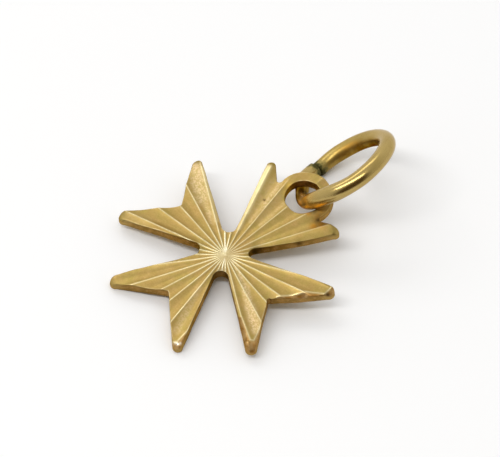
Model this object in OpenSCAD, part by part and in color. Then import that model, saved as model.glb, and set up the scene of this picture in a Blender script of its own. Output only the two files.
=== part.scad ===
// Maltese cross pendant: a flat cast cross with a sunburst face and a loop in its top arm,
// hanging on a jump ring. It lies face up, top arm toward +Y, at rest on its two lower tips and on
// the jump ring, which passes down through the loop and props the top arm up.
// Sizes are in millimetres. The plate is drawn flat, its face at z = 0 and its middle at the origin,
// and both pieces are then tipped together onto the table.

/* [Cross plate] */
// Thickness of the cross and its loop
plate_t = 0.72; // [0.5:0.01:0.73]
// Rounding radius of the eight arm tips
tip_round = 0.29; // [0.2:0.01:0.35]
// Rounding radius of the four valleys between the arms
valley_round = 0.43; // [0.3:0.01:0.5]
// Rounding radius at the bottom of each arm's notch
notch_round = 0.12; // [0.05:0.01:0.2]

/* [Sunburst] */
// Number of rays on the face
rays = 30; // [12:1:36]
// Direction of the first ridge between two rays, in degrees
ridge_turn = 9; // [0:0.5:12]
// Depth of a flute at the arm tips
flute_depth = 0.2; // [0.05:0.01:0.3]
// Width of the flat land on each ridge, in degrees as seen from the middle
ridge_flat = 0.8; // [0.6:0.1:2]
// Distance from the middle at which the flutes begin
hub_r = 0.85; // [0.8:0.05:1.1]

/* [Loop] */
// Outer radius of the loop in the top arm
loop_r = 1.7; // [1.6:0.05:1.8]
// Radius of the hole in the loop
hole_r = 1.15; // [1.14:0.01:1.3]
// Rounding radius where the loop runs into the top arm
loop_fillet = 0.29; // [0.2:0.01:0.4]

/* [Jump ring] */
// Thickness of the ring's wire
wire_d = 0.93; // [0.7:0.01:0.94]
// Inside diameter of the ring
ring_bore = 5.14; // [4.8:0.02:6]
// Angle between the ring and the plate, in degrees
ring_lean = 45; // [45:0.5:55]
// Direction in which the ring leans, in degrees
ring_turn = 186.5; // [180:0.5:190]
// Gap at the ring's butt joint
joint_gap = 0.05; // [0.02:0.01:0.2]

/* [Hidden] */

// Each row is one arm, counterclockwise from the right one, as the hand-finished piece measures.
// Turns are in degrees from the arm's heading, reaches in mm from the middle: a tip's to the middle of
// its rounding, a notch's to its bottom, and a valley's to the middle of its rounding. The top arm has
// no notch of its own, because the loop fills it.
// [heading, first tip turn, reach, notch turn, reach, second tip turn, reach, valley turn, reach]
ARMS = [
    [0, -25.7, 6.77, 0, 4.25, 26.6, 6.77, 45, 1.85],
    [90, -27.4, 6.70, 0, 0, 26.6, 6.88, 42.5, 1.92],
    [180, -25.3, 6.67, -2, 4.38, 25.3, 6.62, 41.8, 1.90],
    [270, -24.9, 6.72, -1.6, 4.25, 26.7, 6.86, 42.5, 1.80],
];
loop_at = [0.05, 6.17];    // middle of the loop and its hole
loop_seats = [-3, 188];    // directions from the loop's middle to its two fillets
burst_at = [0.22, -0.13];  // where all the rays meet
hang_turn = 80.5;          // where the loop hangs, in degrees round the ring from its lowest point
hang_shift = [0.08, 0.17]; // how far the wire passes from the middle of the hole
joint_turn = 3;            // where the butt joint is, round the ring from its lowest point
chord_error = 0.004;       // how far a straight piece of the outline may miss its arc
round_facets = 96;         // sides of the hole, the flutes and the wire in a preview
eps = 0.01;

gold = "#c9a557";
polished_gold = "#dcb75c";
wire_r = wire_d / 2;
ring_r = ring_bore / 2 + wire_r;

function at(angle, reach) = reach * [cos(angle), sin(angle)];

// The outline is a belt round a chain of circles, written as [middle, radius]. A circle with a
// negative radius lies outside the metal, so the belt turns the other way round it.
function seat(turn) = [loop_at + at(turn, loop_r + loop_fillet), -loop_fillet];
LOOP = [seat(loop_seats[0]), [loop_at, loop_r], seat(loop_seats[1])];
// One arm's circles: its first tip, its notch or the loop, its second tip and the valley after it
function arm_belt(
    heading, first, first_reach, notch, notch_reach, second, second_reach, valley, valley_reach
) =
    concat(
        [[at(heading + first, first_reach), tip_round]],
        notch_reach > 0 ? [[at(heading + notch, notch_reach + notch_round), -notch_round]] : LOOP,
        [[at(heading + second, second_reach), tip_round]],
        [[at(heading + valley, valley_reach), -valley_round]]
    );
BELT = [for (a = ARMS) each arm_belt(a[0], a[1], a[2], a[3], a[4], a[5], a[6], a[7], a[8])];

// Direction of the outward normal on the belt's straight stretch from circle p to circle q
function normal_between(p, q) =
    let (step = q[0] - p[0], ratio = (p[1] - q[1]) / norm(step))
    atan2(step.y, step.x) - acos(max(-1, min(1, ratio)));
// Turn from direction a to b, counterclockwise where way is 1 and clockwise where it is -1
function turn(a, b, way) = let (ahead = way * (b - a)) way * (ahead - 360 * floor(ahead / 360));
function arc(circle, a, b) =
    let (
        sweep = turn(a, b, sign(circle[1])),
        facet = 2 * acos(1 - chord_error / abs(circle[1])),
        steps = ceil(abs(sweep) / facet)
    )
    [for (i = [0:steps]) circle[0] + at(a + sweep * i / steps, circle[1])];
OUTLINE = [
    for (i = [0:len(BELT) - 1])
        let (
            before = BELT[(i + len(BELT) - 1) % len(BELT)],
            after = BELT[(i + 1) % len(BELT)]
        )
        each arc(BELT[i], normal_between(before, BELT[i]), normal_between(BELT[i], after))
];

// A flute is cut by a cone with its point where the rays meet. The cone crosses the face along the
// two ridges and reaches flute_depth below it between them, so its axis rises by flute_rise.
ray_step = 360 / rays;
flute_half = (ray_step - ridge_flat) / 2;
rim_r = 6.9;
flute_drop = atan(flute_depth / rim_r);
flute_rise = atan((cos(flute_drop) - cos(flute_half)) / sin(flute_drop));
flute_angle = flute_rise + flute_drop;
flute_end = 9;

// The ring lies in the plane of two directions: ring_down points to its lowest point, ring_along is
// level with the plate, and ring_axis stands square to both. Its middle follows from where the wire
// passes through the hole.
ring_axis = [cos(ring_turn) * sin(ring_lean), sin(ring_turn) * sin(ring_lean), cos(ring_lean)];
ring_down = [cos(ring_turn) * cos(ring_lean), sin(ring_turn) * cos(ring_lean), -sin(ring_lean)];
ring_along = [-sin(ring_turn), cos(ring_turn), 0];
hang_at = [loop_at.x + hang_shift.x, loop_at.y + hang_shift.y, -plate_t / 2];
ring_at = hang_at - ring_r * (cos(hang_turn) * ring_down + sin(hang_turn) * ring_along);

// The plate is tipped about X until the ring's lowest point is level with the lower tips.
steepest_tilt = 20;
halvings = 24;
foot = min([for (circle = BELT) circle[0].y - circle[1]]);
function up(tilt) = [0, sin(tilt), cos(tilt)];
function reach_along(dir) = ring_r * sqrt(1 - pow(ring_axis * dir, 2)) + wire_r;
function ring_low(tilt) = ring_at * up(tilt) - reach_along(up(tilt));
function tip_low(tilt) = [0, foot, -plate_t] * up(tilt);
function settle(low, high, rounds) =
    let (middle = (low + high) / 2)
    rounds == 0 ? middle
    : ring_low(middle) < tip_low(middle) ? settle(middle, high, rounds - 1)
    : settle(low, middle, rounds - 1);
rest_tilt = settle(0, steepest_tilt, halvings);

// The origin is the middle of the part's footprint, on the table.
left_x = min([for (circle = BELT) circle[0].x - circle[1]]);
right_x = max([for (circle = BELT) circle[0].x + circle[1]]);
near_y = foot * cos(rest_tilt);
along_table = [0, cos(rest_tilt), -sin(rest_tilt)];
far_y = ring_at * along_table + reach_along(along_table);
rest_at = [-(left_x + right_x) / 2, -(near_y + far_y) / 2, -tip_low(rest_tilt)];

module at_rest() {
    translate(rest_at)
        rotate([rest_tilt, 0, 0])
            children();
}

module flute() {
    rotate([0, 90 - flute_rise, 0])
        translate([0, 0, hub_r])
            cylinder(
                h = flute_end - hub_r,
                r1 = hub_r * tan(flute_angle),
                r2 = flute_end * tan(flute_angle),
                $fn = round_facets
            );
}

module sunburst() {
    translate(burst_at)
        for (i = [0:rays - 1])
            rotate([0, 0, ridge_turn + ray_step * (i + 0.5)])
                flute();
}

module cross() {
    color(gold)
        at_rest()
            difference() {
                translate([0, 0, -plate_t])
                    linear_extrude(height = plate_t)
                        polygon(OUTLINE);
                translate([loop_at.x, loop_at.y, -plate_t - eps])
                    cylinder(h = plate_t + 2 * eps, r = hole_r, $fn = round_facets);
                sunburst();
            }
}

module jump_ring() {
    joint_angle = 360 * joint_gap / (2 * PI * ring_r);
    color(polished_gold)
        at_rest()
            translate(ring_at)
                rotate([0, 0, ring_turn])
                    rotate([0, ring_lean, 0])
                        rotate([0, 0, joint_turn + joint_angle / 2])
                            rotate_extrude(angle = 360 - joint_angle, $fn = round_facets)
                                translate([ring_r, 0])
                                    circle(r = wire_r, $fn = round_facets / 2);
}

cross();
jump_ring();
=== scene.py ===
"""Maltese cross pendant: a small cast gold cross with a sunburst face, lying on its jump ring.

Both pieces are worked out in the plate's own frame, in millimetres: the face of the plate lies at
z = 0 with its middle at the origin and the top arm toward +Y. They are then tipped onto the table.
"""

from math import acos, atan2, cos, exp, hypot, pi, radians, sin

import bpy
import numpy as np
from mathutils import Matrix, Vector
from mathutils.geometry import delaunay_2d_cdt


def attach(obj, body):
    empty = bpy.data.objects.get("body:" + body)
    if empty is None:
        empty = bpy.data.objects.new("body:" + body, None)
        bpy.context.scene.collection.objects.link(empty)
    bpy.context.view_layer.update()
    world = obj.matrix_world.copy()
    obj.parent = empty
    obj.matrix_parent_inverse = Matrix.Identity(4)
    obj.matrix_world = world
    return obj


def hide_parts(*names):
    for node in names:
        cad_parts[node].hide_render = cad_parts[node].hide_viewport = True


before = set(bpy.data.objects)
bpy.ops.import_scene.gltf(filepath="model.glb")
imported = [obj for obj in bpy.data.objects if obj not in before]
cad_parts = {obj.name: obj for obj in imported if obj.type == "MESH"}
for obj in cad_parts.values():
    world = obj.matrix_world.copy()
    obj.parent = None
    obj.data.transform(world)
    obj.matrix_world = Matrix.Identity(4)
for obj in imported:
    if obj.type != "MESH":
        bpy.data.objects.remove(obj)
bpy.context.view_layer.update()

MM = 0.001
rng = np.random.default_rng(7)

# The plate, as it was cast and filed, in millimetres.
PLATE_T = 0.72
TIP_ROUND = 0.29
VALLEY_ROUND = 0.43
NOTCH_ROUND = 0.12
# How far its edges are rounded: along the outline, how much more at a tip, round the hole, and at the
# back.
EDGE_ROUND, TIP_ROUND_MORE, HOLE_EDGE_ROUND, BACK_ROUND = 0.05, 0.09, 0.06, 0.05
# Rows of points follow the edges over RIM_BAND of the face, with a point each OUTLINE_STEP along the
# outline and HOLE_POINTS round the hole.
RIM_BAND, OUTLINE_STEP, HOLE_POINTS = 0.16, 0.05, 140
# [heading, first tip turn, reach, notch turn, reach, second tip turn, reach, valley turn, reach]
ARMS = [
    [0, -25.7, 6.77, 0, 4.25, 26.6, 6.77, 45, 1.85],
    [90, -27.4, 6.70, 0, 0, 26.6, 6.88, 42.5, 1.92],
    [180, -25.3, 6.67, -2, 4.38, 25.3, 6.62, 41.8, 1.90],
    [270, -24.9, 6.72, -1.6, 4.25, 26.7, 6.86, 42.5, 1.80],
]
# The loop, its drilled hole, and its two fillets with the ways they lie from its middle.
LOOP_AT = np.array([0.05, 6.17])
LOOP_R = 1.7
HOLE_R = 1.15
LOOP_FILLET = 0.29
LOOP_SEATS = (-3, 188)
# How far outside its drawn place hand filing has left the outline, in millimetres, for each round of
# it: at the round's middle, and at the start, middle and end of the straight stretch after it.
FILED = [
    [0.02, 0.00, -0.05, -0.08], [0.02, 0.07, 0.12, 0.08],
    [0.12, 0.06, 0.08, 0.13], [0.03, 0.02, 0.04, -0.05],
    [0.07, 0.10, 0.10, 0.10], [0.05, 0.05, 0.05, 0.05], [0.12, 0.06, 0.06, 0.06],
    [0.10, 0.13, 0.10, 0.05], [0.10, -0.05, -0.06, -0.04], [0.01, 0.00, 0.01, 0.01],
    [0.05, 0.06, 0.05, -0.02], [0.00, -0.02, 0.07, 0.15],
    [0.15, -0.02, -0.07, -0.08], [0.10, 0.07, 0.05, 0.11],
    [0.15, 0.01, 0.02, 0.03], [0.05, 0.05, 0.08, 0.10],
    [0.03, -0.05, -0.05, -0.05], [-0.06, -0.05, 0.02, 0.12],
]
# The height of each sine of the outline's waver, and how far along an edge a tip's look reaches.
WAVER = 0.0028
TIP_FADE = 0.6

# The sunburst: where the ridges meet, how that place moves aside near the hub, how many ridges there
# are and where the first one runs, the flutes' depth at RIM_R, how soft and how wide a bright crest is,
# where the flutes begin, how much deeper they are near the hub, and how uneven the casting is.
BURST_AT = np.array([0.22, -0.13])
HUB_BEND, HUB_BEND_R = np.array([-0.05, 0.05]), 1.7
RAYS = 30
RIDGE_TURN = 9.0
RIM_R = 6.9
FLUTE_DEPTH = 0.155
CREST_SOFT, CREST_WIDE = 0.03, 0.034
HUB_START, HUB_END = 0.05, 0.22
HUB_DEEPER, HUB_DEEPER_R = 0.5, 1.2
UNEVEN = 0.012

# Wear at three tips and along the right arm's edge: a line through a point, the way it faces in
# degrees, how steeply the face falls beyond it, how much steeper each further millimetre is, and where
# along the line it begins. FAR stands for no beginning, and for no brink at hand.
FAR = -9.0
WORN = [
    [5.86, -2.60, -37.0, 0.32, 0.45, FAR],
    [5.66, -2.20, 28.0, 0.35, 0.20, FAR],
    [4.30, -2.17, -111.4, 0.62, 0.00, -0.25],
    [3.09, -6.13, -63.0, 0.75, 0.40, FAR],
    [2.89, -5.80, 9.0, 0.30, 0.40, FAR],
    [6.10, 2.90, 8.0, 0.45, 0.30, FAR],
    [5.72, 2.32, -45.0, 0.35, 0.20, -0.75],
    [4.55, 0.52, -30.2, 0.55, 0.20, -0.30],
]
# Over what length a line's wear sets in, and how far it reaches past the line and from its point.
WORN_START, WORN_PAST, WORN_REACH = 0.18, 1.2, 1.6
# The other tips fall off from this distance to the middle, with this slope and growth.
TIP_FALL_START, TIP_FALL, TIP_FALL_GROWTH = 6.72, 0.25, 0.5
# A casting pit, and marked places as [x, y, z, radius, strength]: black marks, painted shade
# where they lie beside the ring; amber beside the ring, a painted reflection of the ring with shade;
# dull olive tips; honey on the hole's wall, painted light in its shade; and a painted highlight on
# one tip's brink.
PIT_AT, PIT_R, PIT_DEPTH = np.array([-1.37, 4.27]), 0.055, 0.05
MARKS = {
    "stain_and_shade": [
        [1.10, 1.50, -0.35, 0.45, 1.0], [0.95, 1.10, -0.40, 0.35, 0.9],
        [2.30, 3.90, -0.30, 0.20, 0.9], [6.28, 2.86, -0.20, 0.14, 1.0],
        [-1.20, -0.90, -0.40, 0.40, 0.7], [0.85, -1.20, -0.40, 0.50, 0.6],
        [-1.37, 4.27, -0.09, 0.075, 1.0], [1.84, 5.81, -0.10, 0.17, 0.85], [2.27, 6.03, 0, 0.20, 0.35],
        # The second and third marks of this row, at the hole's right edge beside the ring, are painted
        # shade.
        [3.21, 5.87, -0.14, 0.08, 0.8], [1.14, 5.82, -0.10, 0.15, 0.8], [1.22, 5.98, -0.08, 0.15, 0.8],
    ],
    # Painted orange reflection of the ring, with shade, on the loop beside it.
    "amber": [
        [2.06, 5.28, -0.1, 0.22, 0.95], [2.28, 5.70, -0.15, 0.24, 0.8], [1.17, 5.62, 0, 0.14, 0.8],
        [1.45, 6.25, -0.1, 0.28, 0.6], [1.62, 5.95, -0.2, 0.25, 0.45],
    ],
    "dull": [
        [-6.22, 3.02, -0.05, 0.28, 0.9], [-3.14, 6.42, -0.05, 0.30, 0.9],
        [-6.20, -2.80, -0.2, 0.35, 0.5], [2.90, 6.05, -0.1, 0.30, 0.4],
    ],
    # Painted light: a bright honey colour lifts the shaded left wall of the hole.
    "honey": [[-1.12, 5.97, -0.45, 0.36, 1.0], [-0.90, 5.60, -0.35, 0.26, 0.8]],
    # Painted highlight on one tip's brink.
    "glint": [
        [2.95, -6.27, -0.12, 0.09, 1.0], [3.09, -6.20, -0.12, 0.09, 1.0], [3.17, -6.06, -0.12, 0.08, 0.8],
    ],
}

# Flutes with their own look, as [x, y, x, y, half width, strength], all painted light and shade: a
# painted highlight along the outline, pale and mottled painted highlight, and darker ochre painted shade.
FLUTE_LIGHT = {
    "strip": [
        [-5.60, 2.90, -3.58, 1.90, 0.16, 0.4], [-3.58, 1.90, -2.08, 1.08, 0.14, 0.35],
        [-3.06, 5.95, -2.20, 4.32, 0.25, 1.0], [-2.20, 4.32, -1.39, 2.83, 0.22, 0.8],
        [-1.39, 2.83, -0.80, 1.75, 0.17, 0.5],
    ],
    "pale": [
        [-5.85, 2.66, -5.10, 2.16, 0.50, 1.0], [-5.10, 2.02, -3.89, 1.46, 0.44, 0.9],
        [-3.89, 1.55, -2.20, 0.84, 0.18, 0.7], [0.88, 0.00, 2.62, -0.61, 0.14, 0.7],
        [2.62, -0.61, 3.84, -1.25, 0.25, 1.0], [3.84, -1.25, 5.40, -2.00, 0.33, 1.0],
        [0.93, -2.77, 1.60, -4.21, 0.20, 0.45], [1.60, -4.21, 2.36, -5.66, 0.24, 0.55],
        [-6.00, -2.70, -4.90, -2.10, 0.38, 0.2], [-0.70, 2.57, -1.03, 3.95, 0.12, 0.5],
        [-1.03, 3.95, -1.67, 5.75, 0.17, 0.75], [-1.00, 2.80, -2.10, 5.50, 0.30, 0.25],
        [-0.10, 2.90, -0.38, 4.91, 0.14, 0.4], [-0.40, 3.10, -1.07, 5.33, 0.25, 0.2],
    ],
    "ochre": [[-5.95, -2.66, -4.20, -1.85, 0.28, 0.55], [-4.20, -1.85, -1.90, -0.85, 0.26, 1.0]],
}
# Ridges near the hub with a painted highlight, as [direction, strength], and a spot of painted highlight
# beside it.
HIGHLIGHTED_RIDGES = [[138, 1.0], [-48, 0.7]]
HUB_HIGHLIGHT_AT, HUB_HIGHLIGHT_R = [-0.12, 0.14], 0.13

# The jump ring, in millimetres and degrees. Its wire thins to the CAD's toward its lowest point, over
# THINNING degrees. It leans from upright and is turned about Z.
WIRE_R = 0.515
CAD_WIRE_R = 0.465
THINNING = 20
RING_R = 3.035
RING_LEAN = 45.0
RING_TURN = 186.5
RING_AT = np.array([0.143067, 9.35423, -0.00579644])
# Circles of points along the wire, and points in each.
ROUND_STEPS, WIRE_STEPS = 320, 56
# Its butt joint: where it is, how wide, how its ends are rounded, and the two small circles over which
# each end face closes.
JOINT_TURN = 3.0
JOINT_GAP = 0.05
END_ROUND = 0.045
END_CIRCLES = 0.0005, 0.25
# How far the wire's first end stands aside at the joint, and the length over which that dies away.
JOINT_STEP, STEP_FADE = 0.13, 1.2
# Slow bows of the wire out of the ring's plane, as [degrees round the ring, how far, half width]. It
# also moves outward by BOW_OUT of that.
BOWS = [[310, 0.03, 30], [160, -0.05, 35]]
BOW_OUT = 0.3
# How the wire is bent and worn: at some degrees round the ring, how far its middle lies off the true
# circle along x, y and z, and how much thicker it is, in millimetres. BELL is a row's width in degrees.
BENT = np.array([
    [-30, 0.00, 0.00, 0.00, 0.000], [-15, -0.01, 0.03, 0.00, 0.000], [0, 0.00, -0.08, -0.01, 0.000],
    [15, -0.08, -0.09, 0.02, -0.006], [30, -0.20, 0.02, 0.06, -0.027], [45, -0.22, 0.12, 0.03, -0.071],
    [60, -0.19, 0.10, -0.05, -0.111], [75, -0.15, -0.08, -0.17, -0.104], [90, -0.13, -0.18, -0.22, -0.050],
    [105, -0.18, -0.26, -0.18, 0.004], [120, -0.17, -0.19, -0.13, 0.025], [135, -0.11, -0.13, -0.09, 0.031],
    [150, -0.05, -0.08, -0.06, 0.003], [165, -0.01, -0.03, -0.03, 0.000], [180, 0.00, 0.00, 0.00, 0.000],
])
BELL = 20.0

# Marked places on the wire, as [degrees round the ring, degrees round the wire, half length, half
# width, strength]: amber where it hangs in the loop, a painted reflection of the loop's gold; black
# painted shade beside that; brown inside the ring and about the loop, partly tarnish and partly
# painted shade; and scuffed by its joint.
WIRE_MARKS = {
    # Painted orange reflection of the loop's gold, with painted glints, where the wire hangs in the loop.
    "amber": [
        [101, -3, 5, 13, 1.0], [116, -26, 7, 16, 1.0], [108, -14, 9, 14, 0.6], [92, -12, 8, 22, 0.7],
        [84, 12, 6, 18, 0.4], [90, 34, 8, 24, 0.55], [98, 58, 12, 38, 0.4], [88, 104, 12, 24, 0.45],
        [312, 150, 14, 18, 0.3],
    ],
    # Painted shade on the wire inside the loop.
    "loop_shade": [
        [44, 72, 9, 22, 0.7], [52, 62, 9, 28, 0.9], [60, 50, 9, 34, 1.0], [70, 36, 9, 34, 1.0],
        [78, 20, 8, 24, 0.9], [86, 8, 5, 14, 0.6], [106, -78, 14, 20, 0.7],
        [50, 110, 16, 40, 0.35], [64, 92, 12, 40, 0.3],
    ],
    # Partly tarnish and partly painted shade, on the inner and under sides and the bend in the loop.
    "brown": [
        [40, 70, 9, 24, 0.8], [50, 64, 9, 30, 1.1], [60, 50, 9, 36, 1.2], [70, 36, 9, 36, 1.2],
        [80, 22, 9, 32, 1.0], [88, 12, 8, 26, 0.8], [62, 100, 14, 40, 0.7], [80, 66, 9, 34, 0.6],
        [92, 84, 9, 26, 0.3], [105, -74, 14, 22, 0.9], [62, 180, 24, 60, 0.4], [98, 40, 12, 50, 0.35],
        [276, 200, 16, 50, 1.0], [300, 200, 18, 48, 1.1], [326, 194, 18, 40, 0.9],
        [348, 190, 14, 30, 0.5], [258, 194, 12, 36, 0.9], [56, 120, 18, 44, 0.9],
    ],
    "scuffed": [[335, 130, 34, 90, 0.5]],
}

# How the pair lies on the table.
REST_TILT = 7.09356
REST_AT = np.array([-0.0350304, -3.18573, 1.50711])

# Ten plane waves that make the casting uneven: their ways over the face, lengths and phases.
wave_turns = rng.uniform(0, pi, 10)
WAVE_WAYS = np.stack([np.cos(wave_turns), np.sin(wave_turns)], 1)
WAVE_LENGTHS = rng.uniform(0.5, 2.4, 10)
WAVE_PHASES = rng.uniform(0, 2 * pi, 10)


def polar(turn, reach=1.0):
    """Point at a direction in degrees and a distance from the origin."""
    angle = np.radians(turn)
    return np.stack([reach * np.cos(angle), reach * np.sin(angle)], axis=-1)


def smooth_step(low, high, value):
    """0 below low, 1 above high, and 3t^2 - 2t^3 of the share t between them."""
    t = np.clip((value - low) / (high - low), 0, 1)
    return t * t * (3 - 2 * t)


def on_table(points):
    """Turns plate points about X by the rest tilt, adds the rest place and scales to metres."""
    c, s = cos(radians(REST_TILT)), sin(radians(REST_TILT))
    tip = np.array([[1, 0, 0], [0, c, -s], [0, s, c]])
    return (points @ tip.T + REST_AT) * MM


def make_piece(name, points, faces, material, attributes):
    """Makes a smooth piece of plate points and their faces, with float attributes on its points."""
    mesh = bpy.data.meshes.new(name)
    mesh.from_pydata(on_table(points).tolist(), [], faces)
    mesh.validate()
    mesh.polygons.foreach_set("use_smooth", [True] * len(mesh.polygons))
    for label, values in attributes.items():
        kind, field = ("FLOAT", "value") if values.ndim == 1 else ("FLOAT_VECTOR", "vector")
        layer = mesh.attributes.new(label, kind, "POINT")
        layer.data.foreach_set(field, values.astype(np.float32).ravel())
    mesh.materials.append(material)
    mesh.update()
    piece = bpy.data.objects.new(name, mesh)
    bpy.context.scene.collection.objects.link(piece)
    return piece


def belt_circles():
    """Circles that the plate's outline runs round, as [x, y, signed radius, tip or not]."""
    circles = []
    for heading, first, first_r, notch, notch_r, second, second_r, valley, valley_r in ARMS:
        circles.append([*polar(heading + first, first_r), TIP_ROUND, 1])
        if notch_r:
            circles.append([*polar(heading + notch, notch_r + NOTCH_ROUND), -NOTCH_ROUND, 0])
        else:
            low, high = (LOOP_AT + polar(a, LOOP_R + LOOP_FILLET) for a in LOOP_SEATS)
            circles += [
                [*low, -LOOP_FILLET, 0],
                [*LOOP_AT, LOOP_R, 0],
                [*high, -LOOP_FILLET, 0],
            ]
        circles.append([*polar(heading + second, second_r), TIP_ROUND, 1])
        circles.append([*polar(heading + valley, valley_r), -VALLEY_ROUND, 0])
    return circles


def outline(step):
    """The plate's outline, counterclockwise: points, outward normals and how far each is a tip.

    Every circle of the belt gives an arc, middle + radius (cos a, sin a), between the normals of
    the straight stretches on its two sides, and the stretches join one arc's end to the next start.
    A point then moves out along its normal by the filing there, straight between the filed places,
    and by a small waver, the sum of eight sines round the whole outline.
    """
    circles = belt_circles()

    def stretch_normal(p, q):
        ratio = (p[2] - q[2]) / hypot(q[0] - p[0], q[1] - p[1])
        return atan2(q[1] - p[1], q[0] - p[0]) - acos(max(-1, min(1, ratio)))

    points, normals, tips, marks, way_round = [], [], [], [], 0.0
    for i, (x, y, r, tip) in enumerate(circles):
        before, after = circles[i - 1], circles[(i + 1) % len(circles)]
        start = stretch_normal(before, circles[i])
        end = stretch_normal(circles[i], after)
        way = 1 if r > 0 else -1
        sweep = way * ((way * (end - start)) % (2 * pi))
        count = max(6, int(abs(sweep * r) / min(step, 0.12 * abs(r) + 0.01)))
        angle = start + sweep * np.linspace(0, 1, count)
        normal = np.stack([np.cos(angle), np.sin(angle)], 1)
        arc = np.array([x, y]) + r * normal
        next_start = np.array(after[:2]) + after[2] * np.array([cos(end), sin(end)])
        length = np.linalg.norm(next_start - arc[-1])
        share = np.linspace(0, 1, max(3, int(length / step)) + 1)[1:-1, None]
        points += [arc, arc[-1] + share * (next_start - arc[-1])]
        normals += [normal, np.repeat(normal[-1:], len(share), 0)]
        far, left = share[:, 0] * length, (1 - share[:, 0]) * length
        near_tip = tip * np.exp(-((far / TIP_FADE) ** 2))
        tips += [np.full(count, float(tip)), near_tip + after[3] * np.exp(-((left / TIP_FADE) ** 2))]
        round_length = abs(sweep * r)
        marks += [way_round + round_length * 0.5, way_round + round_length,
                  way_round + round_length + length * 0.5, way_round + round_length + length]
        way_round += round_length + length
    points, normals = np.concatenate(points), np.concatenate(normals)
    gaps = np.linalg.norm(np.roll(points, -1, 0) - points, axis=1)
    along = np.concatenate([[0], np.cumsum(gaps)[:-1]])
    out = np.interp(along, marks, np.ravel(FILED), period=way_round)
    turns = rng.integers(18, 75, 8)
    phase = rng.uniform(0, 2 * pi, 8)
    out += WAVER * np.sin(2 * pi * along[:, None] / way_round * turns + phase).sum(1)
    return points + normals * out[:, None], normals, np.concatenate(tips)


def ray_place(xy):
    """Distance from the burst, direction in degrees, and distance to the nearest ridge.

    The place where the ridges meet moves aside by HUB_BEND exp(-(distance / HUB_BEND_R)^2), which bends
    them a little near the hub.
    """
    away = xy - BURST_AT
    away -= HUB_BEND * np.exp(-np.sum(away**2, 1) / HUB_BEND_R**2)[:, None]
    reach = np.hypot(away[:, 0], away[:, 1])
    turn = np.degrees(np.arctan2(away[:, 1], away[:, 0]))
    step = 360 / RAYS
    across = (turn - RIDGE_TURN) / step
    share = np.abs(across - np.round(across))
    return reach, turn, share * radians(step) * reach


def worn_away(xy):
    """How far wear has lowered the face, how far past a brink each point is, and the tips' fall.

    At t past a line of WORN the face falls by slope t + growth t^2. The other tips fall off in the same
    way with t the distance to the middle beyond TIP_FALL_START. The loop keeps its height.
    """
    drop, past = np.zeros(len(xy)), np.full(len(xy), FAR)
    for x, y, facing, slope, growth, begin in WORN:
        out, along = polar(facing), polar(facing + 90)
        t = (xy - [x, y]) @ out
        here = smooth_step(begin, begin + WORN_START, (xy - [x, y]) @ along) * (t < WORN_PAST)
        here = here * (np.hypot(*(xy - [x, y]).T) < WORN_REACH)
        drop = np.maximum(drop, (slope * np.maximum(t, 0) + growth * np.maximum(t, 0) ** 2) * here)
        past = np.maximum(past, np.where(here > 0.5, t, FAR))
    from_middle = np.hypot(xy[:, 0], xy[:, 1])
    t = np.maximum(from_middle - TIP_FALL_START, 0)
    off_loop = np.hypot(*(xy - LOOP_AT).T) > LOOP_R + 0.3
    fall = np.where(off_loop & (drop < 0.001), TIP_FALL * t + TIP_FALL_GROWTH * t * t, 0)
    return drop, past, fall


def unevenness(xy):
    """Faint rise and fall of the casting: the mean of ten plane waves 0.5 to 2.4 mm long."""
    return np.sin(2 * pi * (xy @ WAVE_WAYS.T) / WAVE_LENGTHS + WAVE_PHASES).mean(1)


def face_height(xy):
    """Height of the face over the plate's flat top.

    A flute is a parabola between two ridges, -depth (1 - (1 - 2s/w)^2) at s from a ridge with w the
    flute's width there. The depth grows with the distance from the burst, is up to half as deep again
    near the hub, fades out at the hub and is shallow on the loop's left shoulder. Near a ridge s is
    taken as sqrt(s^2 + soft^2) - soft, which rounds the crest. The pit, PIT_DEPTH exp(-(distance /
    PIT_R)^2), and the wear are taken off, and the unevenness is added.
    """
    reach, _, s = ray_place(xy)
    width = radians(360 / RAYS) * np.maximum(reach, 0.05)
    depth = FLUTE_DEPTH * reach / RIM_R * smooth_step(HUB_START, HUB_END, reach)
    depth = depth * (1 + HUB_DEEPER * np.exp(-((reach / HUB_DEEPER_R) ** 2)))
    loop_x, loop_y = (xy - LOOP_AT).T
    depth = depth * (1 - 0.85 * smooth_step(0.0, -0.6, loop_x) * smooth_step(-0.4, 0.2, loop_y)
                     * (np.hypot(loop_x, loop_y) < LOOP_R + 0.3))
    crest = CREST_SOFT * width / (width + 0.15)
    soft = np.minimum(np.sqrt(s * s + crest**2) - crest, width / 2)
    height = -depth * (1 - (1 - 2 * soft / width) ** 2)
    pit = PIT_DEPTH * np.exp(-(np.hypot(*(xy - PIT_AT).T) / PIT_R) ** 2)
    drop, _, fall = worn_away(xy)
    return height - drop - fall - pit + UNEVEN * unevenness(xy)


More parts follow.
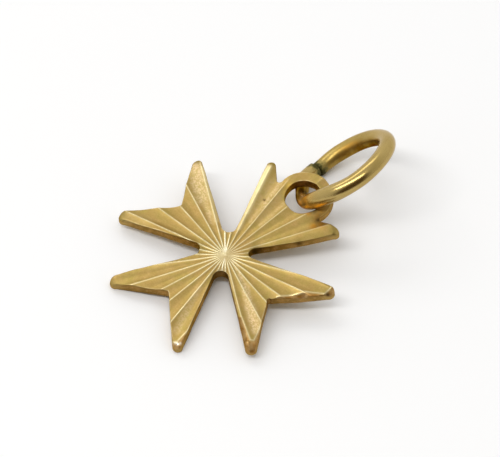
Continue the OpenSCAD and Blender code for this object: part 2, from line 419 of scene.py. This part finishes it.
def face_points(inner, hole_inner):
    """Points inside the face: rows round the burst, rings in the pit, and rows along worn brinks.

    A row at the distance r from the burst has points at the angle s / r from each ridge, with s close
    together by the ridge, even beyond, and last half a flute's width.
    """
    by_ridge = np.array([0, 0.02, 0.042, 0.07, 0.11])
    reach = np.concatenate([np.arange(0.12, 0.9, 0.07), np.arange(0.9, 8.2, 0.11)])
    ridge = radians(RIDGE_TURN) + np.arange(RAYS)[:, None] * radians(360 / RAYS)
    rows = []
    for r in reach:
        half = radians(180 / RAYS) * r
        beyond = np.arange(0.17, half - 0.03, 0.085)
        s = np.concatenate([by_ridge[by_ridge < half - 0.012], beyond, [half]])
        both_sides = np.concatenate([-s[:0:-1][1:], s])
        angle = (ridge + both_sides[None] / r).ravel()
        middle = BURST_AT + HUB_BEND * exp(-(r**2) / HUB_BEND_R**2)
        rows.append(middle + r * np.stack([np.cos(angle), np.sin(angle)], 1))
    points = np.concatenate(rows + [(BURST_AT + HUB_BEND)[None]])
    round_pit = [PIT_AT + polar(np.arange(0, 360, 45.0), r) for r in (0.02, 0.045, 0.07, 0.1)]
    off_pit = np.hypot(*(points - PIT_AT).T) > 0.12
    points = np.concatenate([points[off_pit], PIT_AT[None]] + round_pit)
    for x, y, facing, _, _, begin in WORN:
        along = np.arange(max(begin, -1.5), 1.5, 0.04)[:, None] * polar(facing + 90)
        for aside in (-0.05, 0.01, 0.06):
            brink = [x, y] + aside * polar(facing) + along
            points = np.concatenate([points, brink[distance_to(points, brink) > 0.026]])
    inside = inside_loop(points, inner) & ~inside_loop(points, hole_inner)
    off_edge = distance_to(np.concatenate([inner, hole_inner]), points) > 0.03
    return points[inside & off_edge]


def distance_to(others, points):
    """Each point's distance to the nearest of the others."""
    found = []
    for start in range(0, len(points), 4000):
        block = points[start : start + 4000]
        found.append(np.linalg.norm(block[:, None] - others[None], axis=2).min(1))
    return np.concatenate(found)


def inside_loop(points, loop):
    """Whether each point lies in a closed loop: a line to its right crosses it an odd number of times."""
    x, y = points[:, 0, None], points[:, 1, None]
    a, b = loop, np.roll(loop, -1, 0)
    spans = (a[:, 1] > y) != (b[:, 1] > y)
    with np.errstate(divide="ignore", invalid="ignore"):
        cut = a[:, 0] + (y - a[:, 1]) / (b[:, 1] - a[:, 1]) * (b[:, 0] - a[:, 0])
    return (np.sum(spans & (x < cut), 1) % 2) == 1


def fill(loops, points):
    """Triangles inside the first closed loop of points, outside the others and through more points.

    A triangle is three numbers of points, which are counted through the loops and then the rest.
    """
    coords = np.concatenate(loops + [points])
    edges, start = [], 0
    for loop in loops:
        index = np.arange(start, start + len(loop))
        edges += np.stack([index, np.roll(index, -1)], 1).tolist()
        start += len(loop)
    out = delaunay_2d_cdt([Vector(p) for p in coords.tolist()], edges, [], 0, 1e-6)
    triangles = np.array([f for f in out[2] if len(f) == 3])
    source = np.array([ids[0] if ids else -1 for ids in out[3]])
    triangles = source[triangles]
    middle = coords[triangles].mean(1)
    keep = inside_loop(middle, loops[0])
    for loop in loops[1:]:
        keep &= ~inside_loop(middle, loop)
    triangles = triangles[keep]
    a, b, c = (coords[triangles[:, k]] for k in range(3))
    ab, ac = b - a, c - a
    flip = ab[:, 0] * ac[:, 1] - ab[:, 1] * ac[:, 0] < 0
    triangles[flip] = triangles[flip][:, ::-1]
    return triangles


def rim_band(loop, normals, edge_r):
    """Rows of points over the rim, and how far each row is a bright edge with a painted highlight, a wall
    and in painted shade.

    The rows run from the face over the rounded edge and down the wall to the back. A row lies d inward
    from the outline. On the face it is at the face's height there. Over the edge, at a turn a from 0 to
    90 degrees, d = r (1 - sin a) and the height drops by r (1 - cos a). The wall goes straight down,
    and the back edge is a quarter round of its own.
    """
    rows, kinds = [], []

    def add(d, z, edge, wall, edge_shade):
        rows.append(np.column_stack([loop - normals * d[:, None], z]))
        kinds.append((edge, wall, edge_shade))

    def face_at(d):
        return face_height(loop - normals * d[:, None])

    full, none = np.full(len(loop), RIM_BAND), np.zeros(len(loop))
    add(full, face_at(full), 0, 0, 0)
    for share in (0.6, 0.25):
        d = edge_r + (RIM_BAND - edge_r) * share
        add(d, face_at(d), 0, 0, 0)
    # The last number of each row is painted shade, darker over the lower rounding and toward the top and
    # bottom of the wall.
    for turn, edge, wall, edge_shade in (
        (0, 0.3, 0, 0), (18, 0.9, 0, 0), (36, 1, 0, 0.1),
        (54, 0.5, 0.2, 0.6), (72, 0, 0.7, 1), (90, 0, 1, 1),
    ):
        a = radians(turn)
        d = edge_r * (1 - sin(a))
        add(d, face_at(d) - edge_r * (1 - cos(a)), edge, wall, edge_shade)
    top = face_at(none) - edge_r
    bottom = -PLATE_T + BACK_ROUND
    for share, edge_shade in ((0.12, 0.6), (0.3, 0.1), (0.5, 0), (0.7, 0.2), (0.88, 0.7)):
        add(none, top + (bottom - top) * share, 0, 1, edge_shade)
    for turn in (0, 30, 60, 90):
        a = radians(turn)
        d, z = none + BACK_ROUND * (1 - cos(a)), none + bottom - BACK_ROUND * sin(a)
        add(d, z, 0, 1 - turn / 90, 0.5)
    add(full, none - PLATE_T, 0, 0, 0)
    return rows, kinds


def ring_faces(rows, count, first):
    """Quads between rows of a closed band, with the first row's points numbered from first."""
    i = np.arange(count)
    j = np.roll(i, -1)
    quads = [
        np.stack([first + r * count + i, first + (r + 1) * count + i,
                  first + (r + 1) * count + j, first + r * count + j], 1)
        for r in range(rows - 1)
    ]
    return np.concatenate(quads)


def marked(points):
    """How strongly each label of MARKS and of the flutes' painted light and shade shows at the plate's
    points.

    A place gives strength exp(-(distance / radius)^2). A line gives strength exp(-(distance / half
    width)^4) on the face. Each label takes the strongest of its own.
    """
    masks, xy = {}, points[:, :2]
    for label, places in MARKS.items():
        masks[label] = np.zeros(len(points))
        for *at, radius, strength in places:
            away = np.linalg.norm(points - at, axis=1) / radius
            masks[label] = np.maximum(masks[label], strength * np.exp(-(away**2)))
    for label, lines in FLUTE_LIGHT.items():
        masks[label] = np.zeros(len(points))
        for x, y, end_x, end_y, half, strength in lines:
            way = np.array([end_x - x, end_y - y])
            share = np.clip((xy - [x, y]) @ way / (way @ way), 0, 1)
            away = np.hypot(*(xy - [x, y] - share[:, None] * way).T) / half
            here = strength * np.exp(-(away**4)) * (points[:, 2] > -0.2)
            masks[label] = np.maximum(masks[label], here)
    return masks


def plate_looks(points, kinds):
    """How strongly each look shows at the plate's points, from where they lie and their rim rows.

    A crest is exp(-(s / fine)^2) at s from its ridge, with fine narrowing toward the hub. It fades on
    worn ground, on falling tips, on the loop, over the top arm, and at the hub's lower right. Crests and
    edges are partly rubbed wear and partly painted highlight. A brink's painted highlight is
    exp(-(t / width)^2) at t from a worn line, and the ridges with a painted highlight near the hub are
    fine bells like a crest.
    """
    edge, wall, edge_shade = kinds.T
    xy, z = points[:, :2], points[:, 2]
    reach, turn, s = ray_place(xy)
    drop, past, fall = worn_away(xy)
    on_face = (wall < 0.5) & (z > -PLATE_T / 2 - 0.1)
    off_back = z > -PLATE_T + 0.06
    worn = np.clip(drop / 0.05, 0, 1) * off_back
    # A painted highlight along each worn brink.
    brink = np.exp(-(((past - 0.01) / 0.045) ** 2)) * (wall < 0.5) * off_back

    width = radians(360 / RAYS) * reach
    fine = np.minimum(CREST_WIDE, 0.23 * width + 0.001)
    loop_x, loop_y = (xy - LOOP_AT).T
    from_loop = np.hypot(loop_x, loop_y)
    # Crests are partly rubbed wear and partly painted highlight.
    crest = np.exp(-((s / fine) ** 2)) * smooth_step(-0.15, 0.12, reach) * on_face * (1 - worn)
    crest *= 1 - np.clip(fall / 0.08, 0, 1)
    crest *= 1 - 0.75 * smooth_step(-0.3, 0.3, loop_y) * (from_loop < LOOP_R + 0.1)
    crest *= 1 - 0.4 * smooth_step(8, 0, np.abs(turn - 90) - 35)
    crest *= 1 - (0.36 - 0.30 * np.cos(np.radians(turn - 150))) * np.exp(-((reach / 0.55) ** 2))
    dim_edge = smooth_step(0.6, 1.3, loop_x) * (from_loop < LOOP_R + 0.25)

    # A painted highlight on ridges near the hub and on a spot beside it.
    hub_highlight = np.exp(-((s / 0.035) ** 2)) * smooth_step(2.4, 0.6, reach) * smooth_step(0.08, 0.4, reach)
    hub_highlight *= on_face * np.maximum.reduce([(np.abs(turn - at) < 8) * power for at, power in HIGHLIGHTED_RIDGES])
    from_hub_spot = np.hypot(*(xy - HUB_HIGHLIGHT_AT).T)
    hub_highlight = np.maximum(hub_highlight, 0.6 * np.exp(-((from_hub_spot / HUB_HIGHLIGHT_R) ** 2)) * on_face)
    return {
        "crest": crest,
        "edge": edge * (1 - 0.8 * np.maximum(dim_edge, worn)),
        "wall": wall,
        "edge_shade": edge_shade,
        "worn": worn,
        "brink": brink,
        "hub_highlight": hub_highlight,
        **marked(points),
        "ray": np.column_stack([np.cos(np.radians(turn)), np.sin(np.radians(turn)), reach]),
    }


def build_cross(material):
    """The cross plate: a rim band round the outline and the hole, closed by the face and the back."""
    loop, normal, tips = outline(OUTLINE_STEP)
    turn = -np.linspace(0, 2 * pi, HOLE_POINTS, endpoint=False)
    hole_normal = -np.stack([np.cos(turn), np.sin(turn)], 1)
    hole = LOOP_AT - HOLE_R * hole_normal
    parts, kinds, tip_look, hole_look, faces = [], [], [], [], []
    first = 0
    for rim, normals, edge_r, tip, is_hole in (
        (loop, normal, EDGE_ROUND + TIP_ROUND_MORE * tips, tips, 0.0),
        (hole, hole_normal, np.full(HOLE_POINTS, HOLE_EDGE_ROUND), np.zeros(HOLE_POINTS), 1.0),
    ):
        rows, row_kinds = rim_band(rim, normals, edge_r)
        faces.append(ring_faces(len(rows), len(rim), first))
        parts += rows
        kinds += [np.tile(kind, (len(rim), 1)) for kind in row_kinds]
        tip_look += [tip] * len(rows)
        hole_look += [np.full(len(rim), is_hole)] * len(rows)
        first += len(rows) * len(rim)
    row_count = len(rows)

    inner, hole_inner = loop - normal * RIM_BAND, hole - hole_normal * RIM_BAND
    inside = face_points(inner, hole_inner)
    n, m = len(inner), len(hole_inner)
    hole_first = row_count * n
    top = [np.arange(n), hole_first + np.arange(m), first + np.arange(len(inside))]
    back = [(row_count - 1) * n + np.arange(n), hole_first + (row_count - 1) * m + np.arange(m)]
    faces.append(np.concatenate(top)[fill([inner, hole_inner], inside)])
    faces.append(np.concatenate(back)[fill([inner, hole_inner], np.zeros((0, 2)))][:, ::-1])
    points = np.concatenate(parts + [np.column_stack([inside, face_height(inside)])])
    kinds = np.concatenate(kinds + [np.zeros((len(inside), 3))])
    attributes = {
        **plate_looks(points, kinds),
        "hole": np.concatenate(hole_look + [np.zeros(len(inside))]),
        "tip": np.concatenate(tip_look + [np.zeros(len(inside))]),
    }
    return make_piece(
        "cross_plate", points, sum((f.tolist() for f in faces), []), material, attributes
    )


def build_ring(material):
    """The jump ring: a wire circle carried round an arc that stops at the butt joint.

    A point is middle + w cos b (cos a down + sin a along) + w sin b axis, with a round the ring and b
    round the wire. The middle is the ring's middle + R (cos a down + sin a along), moved by the bend,
    the bows and the step at the joint. The bend and wear are a sum of bells, exp(-((a - place) /
    width)^2), that passes through the rows of BENT. Each bow and the step are bells too. w also shrinks
    over each end face and toward the lowest point.
    """
    t, lean = radians(RING_TURN), radians(RING_LEAN)
    down = np.array([cos(t) * cos(lean), sin(t) * cos(lean), -sin(lean)])
    along = np.array([-sin(t), cos(t), 0])
    axis = np.array([cos(t) * sin(lean), sin(t) * sin(lean), cos(lean)])
    start = radians(JOINT_TURN) + JOINT_GAP / 2 / RING_R
    end = start + 2 * pi - JOINT_GAP / RING_R
    rounding = np.radians([0, 30, 60, 90])
    inset = END_ROUND * (1 - np.cos(rounding)) / RING_R
    shrink = END_ROUND * (1 - np.sin(rounding))
    body = np.linspace(start + 2 * END_ROUND / RING_R, end - 2 * END_ROUND / RING_R, ROUND_STEPS)
    a = np.concatenate([[start, start], start + inset, body, end - inset[::-1], [end, end]])
    from_lowest = (np.degrees(a) + 180) % 360 - 180
    bells = np.exp(-(((BENT[:, :1] - BENT[None, :, 0]) / BELL) ** 2))
    share = np.exp(-(((from_lowest[:, None] - BENT[None, :, 0]) / BELL) ** 2))
    bent = share @ np.linalg.solve(bells, BENT[:, 1:])
    w = WIRE_R - (WIRE_R - CAD_WIRE_R) * np.exp(-((from_lowest / THINNING) ** 2)) + bent[:, 3]
    w[2:6] -= shrink
    w[-6:-2] -= shrink[::-1]
    w[:2] = w[-2:][::-1] = END_CIRCLES
    b = np.linspace(0, 2 * pi, WIRE_STEPS, endpoint=False)
    from_start, from_end = (a - start) * RING_R, (end - a) * RING_R
    ray = np.cos(a)[:, None] * down + np.sin(a)[:, None] * along
    turn = np.degrees(a)
    step = JOINT_STEP * np.exp(-((from_start / STEP_FADE) ** 2))
    bow = sum(far * np.exp(-(((turn - at) / half) ** 2)) for at, far, half in BOWS)
    middle = RING_AT + (RING_R + BOW_OUT * abs(bow))[:, None] * ray
    middle += bent[:, :3] + (step + bow)[:, None] * axis
    points = (
        middle[:, None]
        + w[:, None, None] * np.cos(b)[None, :, None] * ray[:, None]
        + w[:, None, None] * np.sin(b)[None, :, None] * axis
    ).reshape(-1, 3)
    n, m = len(a), len(b)
    i, j = np.meshgrid(np.arange(n - 1), np.arange(m), indexing="ij")
    k = (j + 1) % m
    faces = np.stack([i * m + j, i * m + k, (i + 1) * m + k, (i + 1) * m + j], -1).reshape(-1, 4)
    faces = faces.tolist() + [list(range(m))[::-1], list(range((n - 1) * m, n * m))]
    wire_marks = {}
    for label, patches in WIRE_MARKS.items():
        wire_marks[label] = np.zeros(n * m)
        for at, side, long, wide, strength in patches:
            across = (np.degrees(b)[None] - side + 180) % 360 - 180
            away = ((turn[:, None] - at) / long) ** 2 + (across / wide) ** 2
            wire_marks[label] = np.maximum(wire_marks[label], strength * np.exp(-away).ravel())
    attributes = {
        **wire_marks,
        "joint": np.repeat(np.minimum(from_start, from_end), m),
        "wire": np.column_stack([
            np.repeat(a * RING_R, m), np.tile(np.cos(b), n) * WIRE_R, np.tile(np.sin(b), n) * WIRE_R
        ]),
    }
    return make_piece("jump_ring_wire", points, faces, material, attributes)


class Nodes:
    """A short way to lay out a material's nodes."""

    def __init__(self, material):
        material.use_nodes = True
        self.tree = material.node_tree
        self.shader = self.tree.nodes["Principled BSDF"]

    def add(self, kind, inputs=None, **settings):
        node = self.tree.nodes.new(kind)
        for key, value in settings.items():
            setattr(node, key, value)
        for key, value in (inputs or {}).items():
            self.set(node.inputs[key], value)
        return node

    def set(self, socket, value):
        if isinstance(value, bpy.types.NodeSocket):
            self.tree.links.new(value, socket)
        else:
            socket.default_value = value

    def math(self, operation, a, b, clamp=False):
        node = self.add("ShaderNodeMath", operation=operation, use_clamp=clamp)
        self.set(node.inputs[0], a)
        self.set(node.inputs[1], b)
        return node.outputs[0]

    def times(self, a, b, clamp=False):
        return self.math("MULTIPLY", a, b, clamp)

    def larger(self, a, b):
        return self.math("MAXIMUM", a, b)

    def mix(self, factor, a, b):
        node = self.add("ShaderNodeMix", data_type="RGBA")
        self.set(node.inputs[0], factor)
        self.set(node.inputs[6], a)
        self.set(node.inputs[7], b)
        return node.outputs[2]

    def noise(self, scale, detail, vector=None, rough=0.5):
        node = self.add("ShaderNodeTexNoise", {"Scale": scale, "Detail": detail, "Roughness": rough})
        self.set(node.inputs["Vector"], vector or self.place())
        return node.outputs["Fac"]

    def place(self):
        return self.add("ShaderNodeTexCoord").outputs["Object"]

    def attribute(self, name, output="Fac"):
        return self.add("ShaderNodeAttribute", attribute_name=name).outputs[output]

    def span(self, value, low, high, to_low=0.0, to_high=1.0):
        node = self.add("ShaderNodeMapRange", clamp=True)
        for key, v in zip(range(5), (value, low, high, to_low, to_high)):
            self.set(node.inputs[key], v)
        return node.outputs[0]


def cast_gold():
    """Satin cast gold: dull tan flutes, crests and edges rubbed bright and given a painted highlight, brown
    walls partly in painted shade, worn tips.
    """
    material = bpy.data.materials.new("cast_gold")
    n = Nodes(material)
    crest, edge, wall, tip, edge_shade, worn, hole, brink = (
        n.attribute(a) for a in ("crest", "edge", "wall", "tip", "edge_shade", "worn", "hole", "brink")
    )
    stain_and_shade, amber, honey, dull, glint = (
        n.attribute(a) for a in ("stain_and_shade", "amber", "honey", "dull", "glint")
    )
    pale, strip, ochre, hub_highlight = (n.attribute(a) for a in ("pale", "strip", "ochre", "hub_highlight"))
    cloud = n.noise(900, 3)
    blotch = n.noise(2600, 3)
    speck = n.noise(6000, 3)
    grain = n.noise(11000, 2)
    ray = n.attribute("ray", "Vector")
    stretch = n.add("ShaderNodeMapping", {"Vector": ray, "Scale": (34, 34, 0.7)}).outputs[0]
    streak = n.noise(1.0, 3, stretch)
    reach = n.add("ShaderNodeSeparateXYZ", {"Vector": ray}).outputs["Z"]

    # The flutes, darker toward the hub, with painted shade on ochre flutes and painted highlight on others.
    flute = n.mix(n.span(cloud, 0.35, 0.65), (0.400, 0.300, 0.085, 1), (0.455, 0.300, 0.100, 1))
    flute = n.mix(n.span(blotch, 0.40, 0.68, 0.0, 0.5), flute, (0.56, 0.37, 0.145, 1))
    flute = n.mix(n.span(streak, 0.3, 0.7, 0.0, 0.4), flute, (0.36, 0.265, 0.068, 1))
    flute = n.mix(n.span(grain, 0.35, 0.75, 0.0, 0.35), flute, (0.31, 0.20, 0.05, 1))
    # Painted shade on the ochre flutes.
    flute = n.mix(n.times(ochre, 0.75), flute, (0.29, 0.185, 0.05, 1))
    # Painted highlight on the pale flutes, mottled.
    mottle = n.math("ADD", n.times(speck, 0.4), n.times(grain, 0.6))
    pale_light = n.times(pale, n.span(mottle, 0.44, 0.57, 0.3, 1.0))
    flute = n.mix(n.span(reach, 0.2, 2.4, 0.5, 0.0), flute, (0.33, 0.20, 0.055, 1))
    pale_gold = n.mix(n.span(speck, 0.4, 0.65), (0.73, 0.575, 0.29, 1), (0.79, 0.60, 0.36, 1))
    flute = n.mix(n.times(pale_light, 0.75), flute, pale_gold)
    # Painted highlight on the strips along the outline.
    flute = n.mix(n.times(strip, 0.85), flute, (0.90, 0.76, 0.41, 1))

    # Bright ridges, edges and brinks over the flutes and the worn ground: rubbed wear with a painted
    # highlight on the ridges and edges, and painted highlight alone on the brinks.
    line = n.larger(n.span(streak, 0.25, 0.6, 0.4, 0.9), n.span(reach, 0.5, 2.2, 1.0, 0.0))
    line = n.times(crest, line)
    # Painted highlight on the edge rounding, patchy, and less at the tips.
    rim = n.times(edge, n.span(cloud, 0.40, 0.64, 0.04, 0.55))
    rim = n.times(rim, n.span(blotch, 0.35, 0.6, 0.4, 1.0))
    rim = n.times(rim, n.math("SUBTRACT", 1.0, n.times(tip, 0.7)))
    bright = n.larger(n.larger(line, rim), n.times(brink, 0.6))

    bevel = n.mix(n.span(blotch, 0.35, 0.65), (0.34, 0.145, 0.025, 1), (0.54, 0.34, 0.14, 1))
    colour = n.mix(n.times(worn, 0.8), flute, bevel)
    # The whiter colour of the bright lines is painted highlight.
    white = n.mix(n.span(reach, 0.6, 3.0, 1.0, 0.0), (0.88, 0.77, 0.45, 1), (1.0, 0.93, 0.60, 1))
    colour = n.mix(bright, colour, white)
    # Painted highlight near the hub.
    colour = n.mix(n.times(hub_highlight, 0.9), colour, (1.0, 0.95, 0.72, 1))

    # Brown walls, partly tarnish and partly painted shade, tan at the tips and far out, and the marked
    # places.
    brown = n.mix(n.span(cloud, 0.35, 0.65), (0.25, 0.120, 0.022, 1), (0.44, 0.245, 0.075, 1))
    brown = n.mix(n.span(blotch, 0.4, 0.65, 0.0, 0.7), brown, (0.14, 0.070, 0.011, 1))
    brown = n.mix(n.span(speck, 0.48, 0.7, 0.0, 0.5), brown, (0.60, 0.37, 0.17, 1))
    tan_end = n.larger(n.times(tip, 0.8), n.span(reach, 2.0, 6.5, 0.0, 0.35))
    tan_end = n.times(tan_end, n.math("SUBTRACT", 1.0, hole))
    brown = n.mix(tan_end, brown, (0.50, 0.35, 0.13, 1))
    colour = n.mix(wall, colour, brown)
    for mask, low, high, mark in (
        # painted shade on the lower edge rounding and at the top and bottom of the walls
        (edge_shade, 0.1, 0.42, (0.13, 0.095, 0.025, 1)),
        # painted orange reflection of the ring beside the loop
        (amber, 0.5, 1.0, (0.60, 0.275, 0.018, 1)),
        # painted light on the hole's shaded wall
        (honey, 0.7, 1.0, (1.0, 0.64, 0.06, 1)),
        (dull, 0.5, 0.95, (0.20, 0.165, 0.043, 1)),
        # black stains, and painted shade beside the ring
        (stain_and_shade, 0.8, 1.0, (0.030, 0.016, 0.004, 1)),
    ):
        colour = n.mix(n.times(mask, n.span(speck, 0.3, 0.65, low, high)), colour, mark)
    # Painted highlight on one tip's brink.
    colour = n.mix(glint, colour, (1.0, 0.91, 0.70, 1))
    n.set(n.shader.inputs["Base Color"], colour)
    n.set(n.shader.inputs["Metallic"], 1.0)
    n.set(n.shader.inputs["Specular Tint"], (0.80, 0.62, 0.34, 1))

    rough = n.math("ADD", n.span(cloud, 0.3, 0.7, 0.40, 0.48), n.span(grain, 0.3, 0.7, 0.0, 0.06))
    polish = n.larger(n.larger(bright, hub_highlight), glint)
    rough = n.math("SUBTRACT", rough, n.times(polish, 0.24))
    n.set(n.shader.inputs["Roughness"], rough)
    height = n.math("ADD", n.times(grain, 0.6), n.math("ADD", blotch, streak))
    bump = n.add("ShaderNodeBump", {"Strength": 0.35, "Distance": 0.00001, "Height": height})
    n.set(n.shader.inputs["Normal"], bump.outputs[0])
    return material


def polished_gold():
    """Polished gold wire, finely scratched, brown on its inner and under sides partly tarnish and partly
    painted shade, and green at the joint.
    """
    material = bpy.data.materials.new("polished_gold")
    n = Nodes(material)
    joint, amber, brown, loop_shade, scuffed = (
        n.attribute(a) for a in ("joint", "amber", "brown", "loop_shade", "scuffed")
    )
    wire = n.attribute("wire", "Vector")
    stretch = n.add("ShaderNodeMapping", {"Vector": wire, "Scale": (0.45, 9.0, 9.0)}).outputs[0]
    scratch = n.noise(3.0, 4, stretch, 0.6)
    cloud = n.noise(700, 3)
    speck = n.noise(4200, 3)
    uneven = n.span(speck, 0.3, 0.7, 0.8, 1.2)
    amber = n.times(amber, uneven, True)
    brown = n.times(brown, uneven, True)
    gold = n.mix(n.span(cloud, 0.35, 0.65), (0.41, 0.287, 0.076, 1), (0.48, 0.345, 0.110, 1))
    gold = n.mix(n.span(scratch, 0.45, 0.75, 0.0, 0.3), gold, (0.36, 0.235, 0.045, 1))
    # Brown, partly tarnish and partly painted shade.
    gold = n.mix(brown, gold, (0.215, 0.105, 0.010, 1))
    # Painted shade inside the loop.
    gold = n.mix(n.times(loop_shade, 0.9), gold, (0.065, 0.028, 0.002, 1))
    # Painted orange reflection where the wire hangs in the loop.
    gold = n.mix(amber, gold, (1.0, 0.42, 0.012, 1))

    # Green deposit at the joint, with a ragged border.
    from_joint = n.math("ADD", joint, n.times(speck, 0.9))
    halo = n.span(from_joint, 0.62, 1.0, 1.0, 0.0)
    core = n.span(from_joint, 0.54, 0.76, 1.0, 0.0)
    green = n.mix(core, (0.150, 0.140, 0.050, 1), (0.024, 0.028, 0.005, 1))
    n.set(n.shader.inputs["Base Color"], n.mix(n.times(halo, 0.92), gold, green))
    dulled = n.larger(n.times(halo, 0.7), n.times(amber, 0.85))
    n.set(n.shader.inputs["Metallic"], n.math("SUBTRACT", 1.0, dulled))
    n.set(n.shader.inputs["Specular IOR Level"], 0.15)
    bare = n.math("SUBTRACT", 1.0, n.times(n.larger(brown, amber), 2.0), True)
    bare = n.times(bare, n.math("SUBTRACT", 0.5, n.larger(halo, scuffed), True))
    n.set(n.shader.inputs["Coat Weight"], bare)
    n.set(n.shader.inputs["Coat Roughness"], 0.18)
    tint = n.mix(brown, (0.82, 0.72, 0.54, 1), (0.28, 0.17, 0.035, 1))
    tint = n.mix(amber, tint, (0.90, 0.45, 0.05, 1))
    n.set(n.shader.inputs["Specular Tint"], tint)
    rough = n.math("ADD", n.span(scratch, 0.35, 0.7, 0.21, 0.26), n.times(halo, 0.35))
    rough = n.math("ADD", rough, n.times(brown, 0.22))
    rough = n.math("ADD", rough, n.times(scuffed, 0.25))
    n.set(n.shader.inputs["Roughness"], rough)
    height = n.math("ADD", n.times(scratch, 0.6), cloud)
    bump = n.add("ShaderNodeBump", {"Strength": 0.04, "Distance": 0.00001, "Height": height})
    n.set(n.shader.inputs["Normal"], bump.outputs[0])
    return material


def pale_floor():
    """Matt near-white table."""
    material = bpy.data.materials.new("pale_floor")
    n = Nodes(material)
    cloud = n.noise(6, 2)
    n.set(n.shader.inputs["Base Color"],
          n.mix(n.span(cloud, 0.3, 0.7), (0.90, 0.90, 0.90, 1), (0.92, 0.92, 0.915, 1)))
    n.set(n.shader.inputs["Roughness"], 0.85)
    n.set(n.shader.inputs["Specular IOR Level"], 0.1)
    return material


# The room: the middle of its dark part, and how bright it is at some degrees away from there.
DARK_SIDE = (0.76, -0.48, 0.45)
ROOM = [
    (125, (0.97, 0.97, 0.97)), (60, (0.73, 0.73, 0.73)),
    (44, (0.67, 0.67, 0.67)), (25, (0.10, 0.066, 0.03)),
]

# The camera stands at the photograph's viewing angle, seen from the middle of the plate, in degrees and
# millimetres. It is slid right and up so that the part lies in the picture as in the photo.
CAMERA_AZIMUTH, CAMERA_ELEVATION, CAMERA_ROLL = 46.057, 52.577, 5.319
CAMERA_DISTANCE = 410.94
CAMERA_SLIDE = (1.532, 1.4415)
LENS, SENSOR = 491.38, 36.0


def camera_axes():
    """Right, up and back of the camera in the table's frame."""
    az, el, roll = (radians(v) for v in (CAMERA_AZIMUTH, CAMERA_ELEVATION, CAMERA_ROLL))
    back = Vector((sin(az) * cos(el), -cos(az) * cos(el), sin(el)))
    level = Vector((cos(az), sin(az), 0))
    rise = back.cross(level)
    return cos(roll) * level + sin(roll) * rise, cos(roll) * rise - sin(roll) * level, back


def place_camera():
    """The scene's camera, far off with a long lens."""
    right, up, back = camera_axes()
    at = Vector(REST_AT) + CAMERA_SLIDE[0] * right + CAMERA_SLIDE[1] * up + CAMERA_DISTANCE * back
    data = bpy.data.cameras.new("camera")
    data.lens, data.sensor_width = LENS, SENSOR
    data.clip_start, data.clip_end = 0.01, 10
    camera = bpy.data.objects.new("camera", data)
    turn = Matrix((right, up, back)).transposed().to_4x4()
    camera.matrix_world = Matrix.Translation(at * MM) @ turn
    bpy.context.scene.collection.objects.link(camera)
    bpy.context.scene.camera = camera


def soft_box(name, toward, long_way, distance, length, width, radiance):
    """A rectangular lamp that faces the part, its long side turned one way, lit to a radiance."""
    data = bpy.data.lights.new(name, "AREA")
    data.shape = "RECTANGLE"
    data.size, data.size_y = length, width
    data.energy = radiance * pi * length * width
    lamp = bpy.data.objects.new(name, data)
    away = Vector(toward).normalized()
    side = Vector(long_way)
    side = (side - side.dot(away) * away).normalized()
    turn = Matrix((side, away.cross(side), away)).transposed().to_4x4()
    lamp.matrix_world = Matrix.Translation(away * distance) @ turn
    bpy.context.scene.collection.objects.link(lamp)


def light_world():
    """White room light that is dimmer on one side, with a dark brown part in the middle of that.

    The brightness depends on how far a direction turns from DARK_SIDE: the cosine of that turn, moved
    to 0 to 1, goes through the ramp of ROOM.
    """
    world = bpy.data.worlds.new("room")
    bpy.context.scene.world = world
    world.use_nodes = True
    tree = world.node_tree
    background = tree.nodes["Background"]
    coords = tree.nodes.new("ShaderNodeTexCoord")
    dot = tree.nodes.new("ShaderNodeVectorMath")
    dot.operation = "DOT_PRODUCT"
    dot.inputs[1].default_value = Vector(DARK_SIDE).normalized()
    tree.links.new(coords.outputs["Generated"], dot.inputs[0])
    share = tree.nodes.new("ShaderNodeMapRange")
    share.inputs["From Min"].default_value = -1.0
    tree.links.new(dot.outputs["Value"], share.inputs["Value"])
    ramp = tree.nodes.new("ShaderNodeValToRGB")
    ramp.color_ramp.interpolation = "LINEAR"
    stops = ramp.color_ramp.elements
    stops.new(0.5)
    stops.new(0.6)
    for stop, (turn, colour) in zip(stops, ROOM):
        stop.position, stop.color = (cos(radians(turn)) + 1) / 2, (*colour, 1)
    tree.links.new(share.outputs["Result"], ramp.inputs[0])
    tree.links.new(ramp.outputs[0], background.inputs[0])
    background.inputs[1].default_value = 1.0


def lay_floor(material):
    """A square table top at z = 0."""
    side = 1.5
    mesh = bpy.data.meshes.new("floor")
    corners = [(-side, -side, 0), (side, -side, 0), (side, side, 0), (-side, side, 0)]
    mesh.from_pydata(corners, [], [(0, 1, 2, 3)])
    mesh.materials.append(material)
    floor = bpy.data.objects.new("floor", mesh)
    bpy.context.scene.collection.objects.link(floor)


place_camera()
bpy.context.scene.view_settings.view_transform = "Standard"

cross = build_cross(cast_gold())
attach(cross, "root")
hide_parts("cross")

ring = build_ring(polished_gold())
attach(ring, "root")
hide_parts("jump_ring")

lay_floor(pale_floor())
light_world()
soft_box(
    "strip_lamp", toward=(-0.02, -0.42, 0.907), long_way=(0.87, 0.72, 0.30),
    distance=0.45, length=0.42, width=0.065, radiance=9.0,
)
soft_box(
    "left_window", toward=(-0.72, 0.07, 0.69), long_way=(0.33, 0.70, 0.09),
    distance=0.45, length=0.36, width=0.13, radiance=2.1,
)
